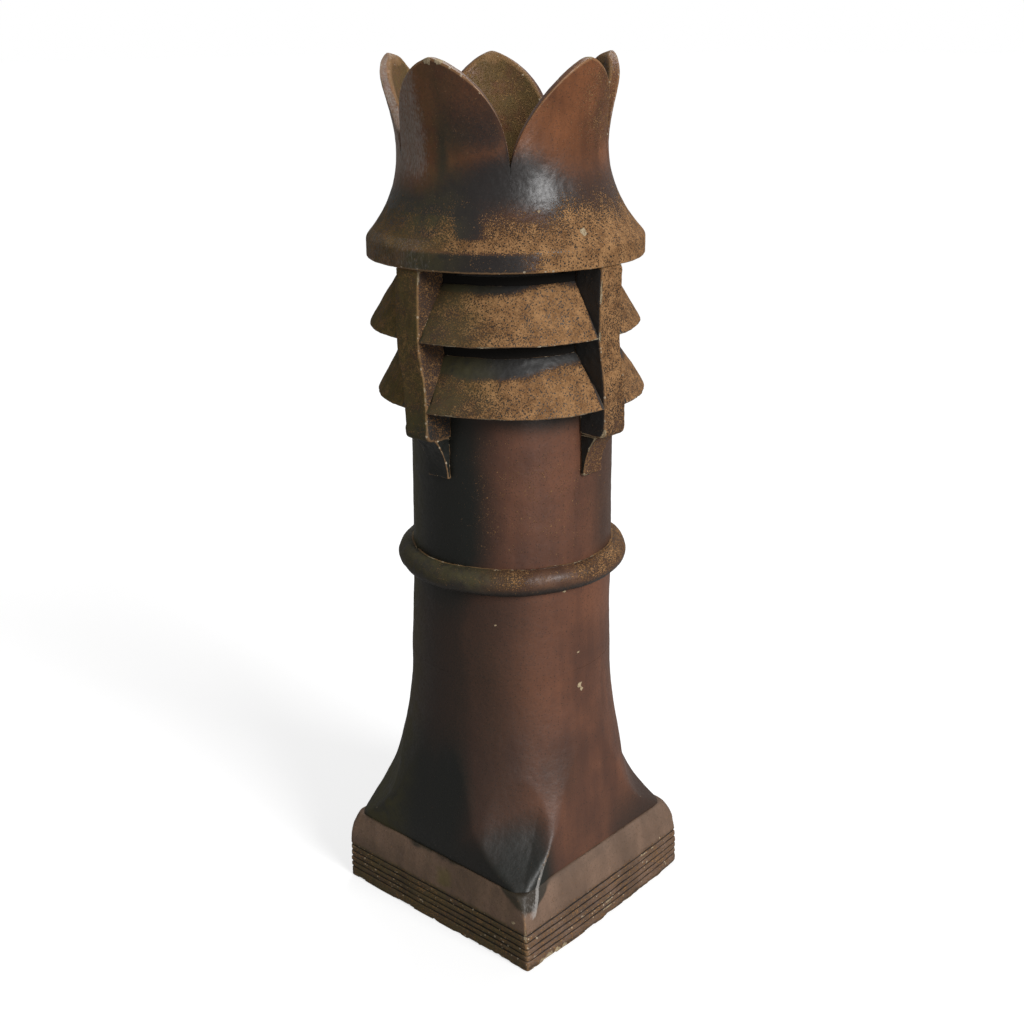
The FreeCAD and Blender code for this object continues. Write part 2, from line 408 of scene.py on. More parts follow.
# The larger chips: the facing in degrees, and the height and size in millimetres.
BODY_CHIPS = ((41.5, 318, 4.2), (43, 312, 3.2), (40.5, 362, 1.8), (30, 446, 3), (-9, 410, 1.6))
PLINTH_CHIPS = ((8, 2.5, 5), (11, 3, 6), (14.5, 2.5, 6), (18, 3, 4), (2.4, 46, 2.6), (-1, 60, 2.2))
CROWN_CHIPS = ((34.5, 861, 4.5), (16, 884, 1.8), (-33, 1035, 6), (-27, 1034, 5), (44, 1037, 4))

# How far down the plinth's shoulder the base's dark glaze has run: its height at a few facings.
OVERRUN_FACINGS = (-5, 1, 6.5, 13, 34, 56, 74)
OVERRUN_HEIGHTS = (96, 80, 72, 90, 84, 87, 98)

# How far up each tier's blades the crust reaches before the top runs dark: dark glaze, with a painted
# shadow from above over it.
CRUST_SHARE = {"upper": 0.86, "lower": 0.66}


def flecks(points, chips):
    """1 in each chip, with ragged edges."""
    total = np.zeros(len(points))
    side = np.radians(facing(points))
    reach = off_axis(points)
    ragged = 1 + 0.35 * noise(points, 0.0025, 91)
    for around, height, size in chips:
        gap = np.hypot((side - math.radians(around)) * reach, points[:, 2] - height * MM)
        total = np.maximum(total, fade(gap * ragged, 0.6 * size * MM, size * MM))
    return total


def front_arris_gap(points):
    """Millimetres to the right of the one hard arris on the broached corner nearest the camera."""
    z = points[:, 2] / MM
    line = np.interp(z, ARRIS_HEIGHTS, ARRIS_FACINGS)
    return np.radians(facing(points) - line) * off_axis(points) / MM


def outwardness(points, normals):
    """1 where the surface looks straight away from the axis, 0 sideways, -1 towards it."""
    return (normals[:, :2] * points[:, :2]).sum(axis=1) / off_axis(points)


def arris_wear(points):
    """The rubbed line down the front arris, which spreads to its left lower down."""
    gap = front_arris_gap(points)
    z = points[:, 2] / MM
    line = band(gap, -4, 2, 1.6) * fade(z, 92, 175) * ramp(z, 60, 68)
    spread = band(gap, -26, 0, 6) * fade(z, 84, 128) * ramp(z, 62, 74)
    brush = band(gap, -9, 0, 3) * fade(z, 72, 112) * ramp(z, 61, 70)
    return np.maximum(0.9 * line, np.maximum(0.5 * spread, 0.72 * brush))


def body_dark_glaze_and_shade(side, z, wander):
    """Where the base and the barrels go near black: runs of dark glaze, and painted shade down the
    upper barrel's right edge, beside the blades and under them. wander sways the edges.
    """
    across = side + wander
    low = fade(z + 2 * wander, 85, 265)
    foot = fade(z + 2.5 * wander, 96, 236)
    runs = [
        # the left side, then the front corner and its clouds
        (0.98 - 0.3 * band(z, 230, 440, 60)) * band(across, -128, -14, 19),
        0.6 * band(across, -60, 12, 32) * fade(z, 430, 480),
        0.92 * foot * band(across, -44, 17, 11),
        0.45 * low * band(across, 0, 26, 16),
        0.42 * band(across, 6, 44, 14) * band(z, 170, 262, 40),
        # the right side, then the back
        0.3 * low * band(across, 0, 120, 16),
        0.65 * low**2 * band(side, 56, 118, 14),
        # painted shade down the upper barrel's right edge
        0.5 * band(side, 48, 118, 14) * ramp(z, 430, 470),
        0.8 * band(across, 118, 152, 16),
        0.8 * low * ramp(np.abs(side), 124, 156),
        # painted shade beside the blades, and a painted shadow under them
        0.8 * (ramp(z, 560, 690) * band(across, -48, -8, 12)),
        0.85 * ramp(z + wander, 615, 672),
    ]
    return np.maximum.reduce(runs)


def body_masks(points, normals, side, z):
    """The flared base and both barrels, as one surface."""
    wander = fractal(points, 0.11, 71) * 5
    reach = off_axis(points)
    # The flue's inside, and the whole barrel from 690 mm up, behind the louvres, are painted near black
    # as shade.
    flue = ramp(-outwardness(points, normals), -0.2, 0.3) * fade(reach, 0.118, 0.2)
    flue = np.maximum(flue, ramp(z, 690, 730))
    outside = 1 - flue
    crust = 0.19 * band(z, 490, 640, 50) * band(side, -24, 70, 14)
    # A mossy tint down the left edge, partly a painted greenish sheen.
    moss = 0.5 * band(side, -135, -64, 12)
    scrape = 0.35 * band(side, -13, -11, 0.8) * band(z, 104, 140, 18)
    return {
        "dark": body_dark_glaze_and_shade(side, z, wander),
        "crust": crust * outside,
        "moss": moss * outside,
        "chip": flecks(points, BODY_CHIPS),
        "worn": np.maximum(arris_wear(points), scrape) * outside,
        "soot": flue,
    }


def plinth_masks(points, normals, side, z):
    """Darker, nicked grooves under a shoulder that the base's glaze has overrun, with a painted contact
    shadow at the foot.
    """
    wander = fractal(points, 0.03, 87)
    combed = fade(z, 50, 57)
    left = band(side, -87, 2, 3)
    line = np.interp(side, OVERRUN_FACINGS, OVERRUN_HEIGHTS)
    overrun = ramp(z + 5 * wander, line - 4, line + 4)

    dark = 0.1 + 0.45 * left * combed - 0.1 * left * (1 - combed)
    # A painted contact shadow darkens the bottom few millimetres all round.
    dark = np.maximum(dark, 0.7 * fade(z + 2 * wander, 3, 9))
    dark += 0.14 * np.clip(fractal(points, 0.014, 89), 0, 1)
    dark = np.maximum(dark, (0.9 - 0.6 * ramp(side, 10, 20)) * overrun)
    # Darker in the bottoms of the grooves.
    gully = combed * ramp(-outwardness(points, normals), -0.62, -0.3)
    dark = np.maximum(dark, 0.55 * gully)

    smear = band(side, -40, -31, 3) * band(z, 58, 82, 6)
    moss = np.maximum(0.8 * smear, 0.12 * left + 0.4 * left * combed)
    right_rub = 0.36 * band(z, 58, 80, 6) * band(side, 34, 58, 8)
    # Paler and greyer on the left of the shoulder.
    left_paler = 0.4 * left * (1 - combed) * fade(side, -42, -10)
    nick = combed * (0.34 + 0.3 * band(side, 4, 36, 8))
    nick *= 0.35 + 2.2 * np.clip(fractal(points, 0.02, 93), 0, 1)
    return {
        "dark": dark,
        "crust": (0.14 + 0.26 * combed) * (1 - overrun),
        "moss": moss,
        "worn": np.maximum(np.maximum(arris_wear(points), right_rub), left_paler),
        "nick": nick,
        "chip": flecks(points, PLINTH_CHIPS),
    }


def ring_masks(points, normals, side, z):
    """Crust settled on the coil's upper half, thinner on the left, painted shade under the coil, and
    darker on the left.
    """
    above = ramp(normals[:, 2], -0.75, 0.3)
    crust = 0.1 + 0.42 * above * (1 - 0.75 * band(side, 8, 32, 8))
    left = band(side, -130, -8, 16)
    # The coil's underside is painted in shade; its left is darker.
    dark = np.maximum(0.8 * left, 0.85 * (1 - above))
    return {"crust": crust * (1 - 0.7 * left), "dark": dark, "moss": 0.5 * left * above}


def rightwardness(points, normals):
    """1 where the surface looks along the wall towards the camera's right, -1 to the left."""
    reach = off_axis(points)
    return (normals[:, 1] * points[:, 0] - normals[:, 0] * points[:, 1]) / reach


def pier_masks(points, normals, side, z):
    """Crusted faces, and flanks painted in shade but lighter where they face the light, with a dark toe
    and a mossy tint on the left.
    """
    left = band(side, -140, -20, 8)
    toe = fade(z, 645, 700)
    front = ramp(outwardness(points, normals), 0.3, 0.75)
    # The flanks are painted in shade; those that face the light, to the right, are painted lighter,
    # with more crust and less dark.
    lit = ramp(rightwardness(points, normals), 0.3, 0.8)
    crust = front * (0.7 - 0.2 * left - 0.2 * toe) + (1 - front) * (0.08 + 0.34 * lit)
    dark = np.maximum(0.9 * toe * left, 0.15 * left * front)
    dark = np.maximum(dark, (1 - front) * (1 - 0.45 * lit * (1 - toe)))
    return {"crust": crust, "dark": dark, "moss": 0.8 * left * front}


def corbel_masks(points, normals, side, z):
    """Near black, with some crust on the face of the right-hand one."""
    front = ramp(outwardness(points, normals), 0.3, 0.75)
    right = band(side, 30, 120, 10)
    return {"crust": 0.06 + 0.38 * right * front, "dark": 1 - 0.7 * right * front}


def crown_masks(points, normals, side, z):
    """Crust up the skirt, a near-black belt under the petals, a mossy inside, and a painted sheen down
    the left.
    """
    inside = ramp(-outwardness(points, normals), 0, 0.4)
    outside = 1 - inside
    wander = fractal(points, 0.04, 81) * 7
    sweep = fractal(points, 0.09, 85) * 15
    right = ramp(side, 10, 50) * fade(side, 120, 170)
    left = band(side, -150, -24, 16)
    petals = ramp(z, 915, 960)
    # A painted sheen, paler and greyer, down the left of the bell and petals.
    painted_sheen = ramp(z, 880, 930) * band(side, -110, -39, 9) * outside
    run = band(side + wander, -25, -8, 5) * band(z + 0.7 * wander, 857, 890, 3)
    glazed_rim = band(side + wander, -42, 14, 10) * fade(z, 841, 849)

    skirt_line = 866 + 10 * right + 12 * left
    crust = fade(z + wander, skirt_line - 26, skirt_line + 46 + 14 * right)
    crust = crust * (1 - 0.8 * run) * (0.8 - 0.22 * left - 0.16 * band(side, -46, -26, 8))
    crust = crust * (1 - 0.8 * glazed_rim)
    crust = np.maximum(crust, petals * (0.14 + 0.28 * right * ramp(side + sweep, 24, 60)))

    dark = band(z + sweep, 860 - 14 * run, 929 - 4 * right, 30) * (1 - 0.34 * right)
    streak = band(side + 0.5 * wander, -37, -28, 5) * band(z, 900, 975, 18)
    middle = petals * 0.74 * band(side, -38, 4, 9) * (1 - 0.35 * ramp(z, 960, 1010))
    dark = np.maximum.reduce([dark, 0.95 * glazed_rim, 0.3 * left * (z < 870), 0.85 * streak, middle])

    moss = 0.62 * inside + outside * left * (0.3 + 0.25 * (z < 880))
    return {
        "dark": dark * (1 - 0.75 * painted_sheen) * outside,
        "crust": crust * outside + 0.42 * inside,
        "moss": np.maximum(moss, 0.35 * painted_sheen),
        # the painted sheen, and another painted sheen low on the left of the rim
        "worn": np.maximum(0.74 * painted_sheen, 0.55 * left * (z < 855) * outside),
        "chip": flecks(points, CROWN_CHIPS),
    }


def louvre_masks(tier, bay, low, high):
    """One blade: crust over its slope, dark glaze at its ends, dark glaze and painted shadow at its top
    edge, painted shade on its underside, and painted shade with a mossy tint over the left half of the
    blades that face the camera.
    """
    middle = math.radians(BAYS[bay])
    crust_end = CRUST_SHARE[tier]

    def masks(points, normals, side, z):
        share = (points[:, 2] - low) / (high - low)
        turn = np.arctan2(points[:, 1], points[:, 0]) - middle
        turn = np.degrees((turn + math.pi) % (2 * math.pi) - math.pi)
        ends = ramp(np.abs(turn), 36.2, 37.6)
        wander = fractal(points, 0.05, 83) * 0.06
        above = ramp(normals[:, 2], -0.1, 0.3)
        height = share + wander - 0.08 * ramp(turn, 0, 24)
        # The dark top band is dark glaze with a painted shadow from above over it.
        top = ramp(height, crust_end - 0.1, crust_end + 0.12)
        left = band(side, -150, -34, 26)
        # Dark glaze at the ends; every downward face is painted in shade.
        dark = np.maximum(np.maximum(top, 0.9 * ends) * above, 0.9 * (1 - above))
        peppered = band(share, 0.04, 0.42, 0.14) * (1 - 0.8 * ramp(turn, -12, 34))
        # Painted shade, darker and with a mossy tint, over the left half of the blades that face the
        # camera.
        shaded = fade(turn, -34, 2) * band(side, -60, 30, 12)
        dark = np.maximum(dark, 0.5 * shaded)
        crust = (0.88 - 0.2 * peppered - 0.12 * left) * (1 - dark)
        moss = np.maximum(0.95 * left, 0.55 * shaded)
        return {"dark": dark, "crust": crust, "moss": moss * above}

    return masks


# ---- materials


class Recipe:
    """Adds nodes to one material and hands back their output sockets."""

    def __init__(self, name):
        self.material = bpy.data.materials.new(name)
        self.material.use_nodes = True
        self.tree = self.material.node_tree
        self.tree.nodes.clear()
        self.place = self.add("ShaderNodeTexCoord").outputs["Object"]

    def add(self, kind, inputs=None, **settings):
        node = self.tree.nodes.new(kind)
        for name, value in settings.items():
            setattr(node, name, value)
        for key, value in (inputs or {}).items():
            if isinstance(value, bpy.types.NodeSocket):
                self.tree.links.new(value, node.inputs[key])
            else:
                node.inputs[key].default_value = value
        return node

    def stretched(self, stretch):
        """The object's own coordinates, scaled along each axis."""
        return self.add("ShaderNodeMapping", {"Vector": self.place, "Scale": stretch}).outputs["Vector"]

    def noise(self, scale, detail=3, rough=0.55, place=None, offset=0):
        place = place or self.place
        inputs = {"Vector": place, "Scale": scale, "Detail": detail, "Roughness": rough, "W": offset}
        return self.add("ShaderNodeTexNoise", inputs, noise_dimensions="4D").outputs["Fac"]

    def attribute(self, name):
        return self.add("ShaderNodeAttribute", attribute_name=name).outputs["Fac"]

    def sums(self, operation, first, second):
        return self.add("ShaderNodeMath", {0: first, 1: second}, operation=operation).outputs[0]

    def times(self, first, second):
        return self.sums("MULTIPLY", first, second)

    def plus(self, first, second):
        return self.sums("ADD", first, second)

    def mask(self, value, start, end):
        """0 where the value is below start, 1 above end."""
        inputs = {"Value": value, "From Min": start, "From Max": end}
        return self.add("ShaderNodeMapRange", inputs, interpolation_type="SMOOTHSTEP").outputs["Result"]

    def varied(self, value, texture, amount):
        """A mask whose edge is broken up by a texture centred on one half."""
        return self.plus(value, self.times(self.plus(texture, -0.5), amount))

    def mix(self, share, first, second):
        node = self.add("ShaderNodeMix", {0: share, 6: first, 7: second}, data_type="RGBA")
        return node.outputs[2]

    def blend(self, share, first, second):
        node = self.add("ShaderNodeMix", {0: share, 2: first, 3: second}, data_type="FLOAT")
        return node.outputs[0]

    def grains(self, scale, size, kept):
        """Dots, one in each kept cell of a Voronoi pattern."""
        cells = self.add("ShaderNodeTexVoronoi", {"Vector": self.place, "Scale": scale})
        dot = self.sums("LESS_THAN", cells.outputs["Distance"], size)
        chance = self.add("ShaderNodeSeparateColor", {0: cells.outputs["Color"]}).outputs[0]
        return self.times(dot, self.sums("LESS_THAN", chance, kept))


def rgb(red, green, blue):
    return (red, green, blue, 1)


CLAY = rgb(0.42, 0.34, 0.22)
CRUST_LIGHT = rgb(0.37, 0.204, 0.09)
CRUST_DEEP = rgb(0.14, 0.068, 0.028)
CRUST_SPECK = rgb(0.018, 0.013, 0.009)
MOSS_AND_PAINTED_LIGHT = rgb(0.12, 0.104, 0.032)
NEAR_BLACK = rgb(0.01, 0.009, 0.008)
PALE_SPECK = rgb(0.42, 0.34, 0.24)
SCRATCH_AND_SHEEN = rgb(0.4, 0.38, 0.36)
FLOOR_BOUNCE = rgb(0.3, 0.29, 0.28)


def textures(r):
    """The noise patterns that the layers share, from coarse to fine."""
    return SimpleNamespace(
        cloud=r.noise(11, 4),
        runs=r.noise(34, 4, place=r.stretched((1, 1, 0.14))),
        patch=r.noise(60, 4, 0.65, offset=3),
        peel=r.noise(330, 2),
        grit=r.noise(400, 4, 0.75, offset=5),
        speck=r.noise(620, 3, 0.8, offset=9),
        fine=r.noise(1500, 2, 0.6, offset=7),
    )


def glaze_layer(r, t, glaze, deep, black, speckle):
    """A mottled salt glaze that goes near black where the dark mask is high: dark glaze, and painted
    shade.
    """
    tone = r.plus(r.times(t.cloud, 0.55), r.times(t.runs, 0.45))
    colour = r.mix(r.mask(tone, 0.36, 0.64), deep, glaze)
    colour = r.mix(r.times(r.mask(t.peel, 0.45, 0.75), 0.45), colour, deep)
    dark = r.varied(r.varied(r.attribute("dark"), t.cloud, 0.35), t.runs, 0.3)
    dark = r.mask(r.varied(dark, t.grit, speckle), 0.04, 0.96)
    colour = r.mix(dark, colour, black)
    return r.mix(r.times(r.grains(480, 0.32, 0.16), 0.55), colour, black)


def crust_layer(r, t, colour):
    """Where the ochre crust lies, from dots to a pitted skin, and the colour with it on."""
    cover = r.varied(r.attribute("crust"), t.patch, 0.45)
    solid = r.mask(r.varied(cover, t.speck, 2.4), 0.4, 0.56)
    dots = r.times(r.grains(300, 0.3, r.times(cover, 0.5)), r.mask(cover, 0, 0.35))
    dust = r.times(r.grains(620, 0.36, r.times(cover, 0.7)), r.mask(cover, 0.05, 0.4))
    crust = r.sums("MAXIMUM", solid, r.sums("MAXIMUM", dots, dust))
    bald = r.sums("SUBTRACT", 1.35, cover)
    pits = r.grains(330, 0.34, r.times(bald, 0.45))
    pinholes = r.grains(560, 0.4, r.times(bald, 0.8))
    holes = r.times(r.sums("MAXIMUM", pits, pinholes), 0.95)
    crust = r.times(crust, r.sums("SUBTRACT", 1, holes))
    shade = r.plus(r.times(t.patch, 0.35), r.plus(r.times(t.grit, 0.35), r.times(t.fine, 0.3)))
    ochre = r.mix(r.mask(shade, 0.4, 0.64), CRUST_DEEP, CRUST_LIGHT)
    ochre = r.mix(r.times(r.grains(560, 0.28, 0.1), 0.8), ochre, PALE_SPECK)
    under = r.mix(r.mask(cover, 0.3, 0.7), colour, CRUST_SPECK)
    return crust, r.mix(crust, under, ochre)


def wear_layer(r, t, colour):
    """Darker hollows, rubbed edges, pale nicks, and fine scratches that also paint a sheen."""
    edge = r.attribute("edge")
    # Darker in the hollows.
    colour = r.mix(r.times(r.mask(r.attribute("hollow"), 0.08, 0.5), 0.9), colour, NEAR_BLACK)
    rubbed = r.times(r.mask(r.varied(edge, t.grit, 1.1), 0.6, 0.95), 0.4)
    colour = r.mix(rubbed, colour, CRUST_LIGHT)
    nick = r.times(r.attribute("nick"), r.plus(r.times(edge, 0.5), 0.015))
    nick = r.plus(r.times(r.mask(edge, 0.3, 0.9), 0.1), nick)
    colour = r.mix(r.times(r.grains(300, 0.42, nick), 0.85), colour, PALE_SPECK)
    hairs = r.noise(600, 4, 0.75, place=r.stretched((1, 1, 0.3)), offset=13)
    # Fine scratches, which also paint the sheen where the mask asks for it.
    scratch_and_sheen = r.mask(r.varied(r.attribute("worn"), hairs, 1.3), 0.45, 1)
    return r.mix(r.times(scratch_and_sheen, 0.55), colour, SCRATCH_AND_SHEEN)


def stoneware(name, glaze, deep, black, gloss, speckle):
    """Glaze, crust, a mossy tint, wear and the flue's near black, one over the other, and bare clay in
    the chips. The glaze's dark, the mossy tint and the wear also paint shade and sheen, and the flue's
    near black is painted shade.
    """
    r = Recipe(name)
    t = textures(r)
    colour = glaze_layer(r, t, rgb(*glaze), rgb(*deep), rgb(*black), speckle)
    crust, colour = crust_layer(r, t, colour)
    moss = r.times(r.attribute("moss"), r.mask(r.noise(46, 4, 0.7, offset=11), 0.26, 0.6))
    colour = r.mix(r.times(moss, 0.7), colour, MOSS_AND_PAINTED_LIGHT)
    colour = wear_layer(r, t, colour)
    soot = r.attribute("soot")
    colour = r.mix(soot, colour, NEAR_BLACK)
    bare = r.mask(r.varied(r.attribute("chip"), t.grit, 0.6), 0.35, 0.6)
    clay = r.mix(r.times(r.mask(t.grit, 0.4, 0.65), 0.6), CLAY, CRUST_DEEP)
    colour = r.mix(bare, colour, clay)

    rough = r.blend(r.mask(t.peel, 0.35, 0.7), gloss, gloss + 0.1)
    rough = r.blend(crust, rough, 0.85)
    matt = r.sums("MAXIMUM", r.sums("MAXIMUM", bare, soot), r.times(moss, 0.7))
    rough = r.blend(matt, rough, 0.92)
    height = r.plus(r.times(t.peel, 0.22), r.times(t.cloud, 0.4))
    height = r.plus(height, r.times(crust, r.plus(r.times(t.grit, 0.9), 0.35)))
    height = r.plus(height, r.times(bare, t.grit))
    bump = r.add("ShaderNodeBump", {"Height": height, "Distance": MM, "Strength": 0.9})
    inputs = {"Base Color": colour, "Roughness": rough, "Normal": bump.outputs["Normal"]}
    inputs["Specular IOR Level"] = r.blend(r.sums("MAXIMUM", crust, matt), 0.34, 0.12)
    shader = r.add("ShaderNodeBsdfPrincipled", inputs)
    r.add("ShaderNodeOutputMaterial", {"Surface": shader.outputs[0]})
    return r.material


def floor_material():
    """Pale to the camera, but darker to the light that it bounces on to the pot."""
    r = Recipe("studio_floor")
    tint = r.mix(r.noise(3), rgb(0.46, 0.46, 0.46), rgb(0.5, 0.5, 0.5))
    seen = r.add("ShaderNodeLightPath").outputs["Is Camera Ray"]
    tint = r.mix(seen, FLOOR_BOUNCE, tint)
    inputs = {"Base Color": tint, "Roughness": 0.8, "Specular IOR Level": 0.1}
    inputs["Emission Color"] = rgb(1, 1, 1)
    inputs["Emission Strength"] = r.times(seen, 0.66)
    shader = r.add("ShaderNodeBsdfPrincipled", inputs)
    r.add("ShaderNodeOutputMaterial", {"Surface": shader.outputs[0]})
    return r.material


# Each slot's glaze where it is light, where it is deep and where it is near black, then its
# roughness and how far grit breaks up the edges of its dark glaze and painted shade.
GLAZES = {
    "dark_salt_glaze": ((0.146, 0.059, 0.032), (0.07, 0.031, 0.02), (0.011, 0.012, 0.01), 0.4, 0.3),
    "crown_glaze": ((0.215, 0.08, 0.032), (0.08, 0.031, 0.014), (0.021, 0.018, 0.017), 0.31, 0.7),
    "plinth_glaze": ((0.2, 0.124, 0.084), (0.108, 0.068, 0.046), (0.028, 0.022, 0.015), 0.5, 0.7),
    "ochre_crust": ((0.12, 0.058, 0.032), (0.055, 0.026, 0.016), (0.02, 0.019, 0.018), 0.42, 0.8),
}
MATERIALS = {slot: stoneware(slot, *glaze) for slot, glaze in GLAZES.items()}


# ---- the pieces

# Heights in millimetres. The barrel behind the louvres takes coarser rows above LANTERN_FOOT.
FOOT_TOP = 10
COMB_TOP = 54
BASE_ROUND_START = 280
BASE_ROUND_END = 310
LANTERN_FOOT = 640
WINDOW_EDGES = (736, 788, 815, 856)
NECK_HEIGHT = 880
NOTCH_HEIGHT = 923.5

# Each petal, round from the notch nearest the camera: its tip's lean in degrees and height from the
# crown's top in millimetres, and the powers that shape its two sides.
PETAL_SKEWS = np.array([4.8, 0.3, 0.6, -6.7, 0.3])
PETAL_TOPS = np.array([-4, 0, 0, 0, -2.5])
PETAL_RISES = np.array([0.7, 0.52, 0.5, 0.52, 0.47])
PETAL_FALLS = np.array([0.45, 0.5, 0.5, 0.5, 0.44])
PETAL_SHOULDER = 1.4


def between(first, last, rows):
    """Even rows on the way from one row of a grid to another."""
    return first + (last - first) * ((np.arange(rows) + 1) / (rows + 1))[:, None]


def wall_rows(outer, inner, outer_heights, inner_heights, top_rows, foot_rows):
    """Closes an outer and an inner skin into one section: up, across the top, down, across the foot."""
    top = between(outer[-1], inner[0], top_rows)
    foot = between(inner[-1], outer[0], foot_rows)
    top_heights = np.full(top_rows, outer_heights[-1])
    foot_heights = np.full(foot_rows, outer_heights[0])
    height = np.concatenate([outer_heights, top_heights, inner_heights, foot_heights])
    return np.concatenate([outer, top, inner, foot]), all_round(height, outer[0])


def all_round(values, columns):
    """The same values in every column of a grid."""
    return np.repeat(np.array(values)[:, None], len(columns), axis=1)


def turned_skin(tree, heights, columns, every):
    """A round, smooth outer skin, from the solid at every so many of the columns."""
    skin = profile(tree, heights, True, columns[::every])
    return all_round(soften(skin[:, None], 3, 0)[:, 0], columns)


def build_plinth():
    tree, low, high = solid_of("plinth")
    azimuths = square_columns(800)
    foot = levels(low.z, FOOT_TOP * MM, 1.2 * MM)
    combed = levels(FOOT_TOP * MM, COMB_TOP * MM, 0.8 * MM)
    shoulder = levels(COMB_TOP * MM, high.z, 1.6 * MM)
    heights = np.concatenate([foot, combed, shoulder, [high.z]])
    outer = soften(sample(tree, azimuths, within(heights, low, high), True), 1.3, 1, True)
    inner_heights = np.linspace(high.z, low.z, 8)
    inner = np.repeat(sample(tree, azimuths, [0.5 * high.z], False), 8, axis=0)
    radius, height = wall_rows(outer, inner, heights, inner_heights, 6, 5)
    piece = tube("plinth", azimuths, soften(radius, 0.7, 0, True), height)
    wear = {"relief": 0.5, "chips": -0.1, "arris_scale": 0.5, "rounds": 4}
    finish_piece(piece, "plinth", "plinth_glaze", plinth_masks, joints=(high.z,), **wear)


def build_flared_base():
    tree, low, high = solid_of("flared_base")
    azimuths = square_columns(680)
    heights = np.append(levels(low.z, high.z, 2 * MM), high.z)
    outer = sample(tree, azimuths, within(heights, low, high), True)
    outer = soften(soften(outer, 1.6, 1, True), 2, 0)
    round_share = ramp(heights, BASE_ROUND_START * MM, BASE_ROUND_END * MM)[:, None]
    outer = outer + (outer.mean(axis=1)[:, None] - outer) * round_share
    inner_heights = np.linspace(high.z, low.z, 12)
    inner = sample(tree, azimuths, within(inner_heights, low, high, MM), False)
    radius, height = wall_rows(outer, inner, heights, inner_heights, 3, 5)
    piece = tube("flared_base", azimuths, radius, height)
    raise_front_arris(piece.data)
    wear = {"relief": 0.35, "chips": -1, "joints": (low.z, high.z)}
    finish_piece(piece, "flared_base", "dark_salt_glaze", body_masks, **wear)


def raise_front_arris(mesh):
    """Makes the hard arris on the front corner stand proud."""
    points = read_vectors(mesh.vertices, "co")
    reach = off_axis(points)
    away = np.sqrt(front_arris_gap(points) ** 2 + ARRIS_ROUND**2)
    swell = np.clip(1 - away / ARRIS_FLANK, 0, 1)
    swell *= fade(points[:, 2], 120 * MM, 225 * MM) * (reach > 130 * MM)
    points[:, :2] *= (1 + ARRIS_LIFT * MM * swell / reach)[:, None]
    write_points(mesh, points)


def build_lower_barrel():
    tree, low, high = solid_of("lower_barrel")
    azimuths = even_columns(600)
    heights = np.append(levels(low.z, high.z, 2 * MM), high.z)
    outer = turned_skin(tree, within(heights, low, high), azimuths, 25)
    inner_heights = np.linspace(high.z, low.z, 6)
    bore = profile(tree, [0.5 * (low.z + high.z)], False, azimuths[::25])[0]
    inner = np.full((6, len(azimuths)), bore)
    radius, height = wall_rows(outer, inner, heights, inner_heights, 3, 3)
    piece = tube("lower_barrel", azimuths, radius, height)
    wear = {"relief": 0.3, "chips": -1, "joints": (low.z, high.z)}
    finish_piece(piece, "lower_barrel", "dark_salt_glaze", body_masks, **wear)


def window_reveals(index, gaps, first, last_inner):
    """The faces that join the outer skin to the inner one round the windows' edges.

    Row 0 of the gaps lies at row first of the index outside, and at row last_inner inside."""
    reveals = []
    for row, column in zip(*np.nonzero(gaps)):
        right = (column + 1) % index.shape[1]
        outer = index[first + row:first + row + 2, [column, right]]
        inner = index[last_inner - row - 1:last_inner - row + 1, [column, right]][::-1]
        edges = (
            (gaps[row, column - 1], (0, 0), (1, 0)),
            (gaps[row, right], (0, 1), (1, 1)),
            (gaps[row - 1, column], (0, 0), (0, 1)),
            (gaps[row + 1, column], (1, 0), (1, 1)),
        )
        for open_beyond, start, end in edges:
            if not open_beyond:
                reveals.append((outer[start], outer[end], inner[end], inner[start]))
    return np.array(reveals).tolist()


def face_outwards(mesh):
    made = bmesh.new()
    made.from_mesh(mesh)
    bmesh.ops.recalc_face_normals(made, faces=made.faces)
    made.to_mesh(mesh)
    made.free()


def build_upper_barrel():
    tree, low, high = solid_of("upper_barrel")
    azimuths = even_columns(480)
    spans = [LANTERN_FOOT * MM] + [edge * MM for edge in WINDOW_EDGES] + [high.z]
    lower = levels(low.z, spans[0], 2 * MM)
    upper = np.concatenate([levels(a, b, 5 * MM) for a, b in zip(spans, spans[1:])] + [[high.z]])
    heights = np.concatenate([lower, upper])
    outer = turned_skin(tree, within(heights, low, high), azimuths, 120)
    plain = 0.5 * (low.z + spans[0])
    inner_heights = np.concatenate([upper[::-1], [plain, low.z]])
    bore = profile(tree, [plain], False, azimuths[::120])[0]
    inner = np.full((len(inner_heights), len(azimuths)), bore)
    end_rows = 2
    radius, height = wall_rows(outer, inner, heights, inner_heights, end_rows, end_rows)
    # A quad of the skin lies in a window where the solid has a gap at the quad's middle.
    middles = 0.5 * (upper[:-1] + upper[1:])
    half_step = 0.5 * (azimuths[1] - azimuths[0])
    gaps = np.isnan(sample(tree, azimuths + half_step, middles, False))
    first = len(lower)
    last_inner = len(heights) + end_rows + len(upper) - 1

    def opening(index):
        kept = np.ones(index.shape, bool)
        kept[first:first + len(gaps)] = ~gaps
        kept[last_inner - len(gaps):last_inner] = ~gaps[::-1]
        return kept, window_reveals(index, gaps, first, last_inner)

    piece = tube("upper_barrel", azimuths, radius, height, opening)
    face_outwards(piece.data)
    wear = {"relief": 0.3, "chips": -1, "joints": spans + [low.z]}
    finish_piece(piece, "upper_barrel", "dark_salt_glaze", body_masks, **wear)


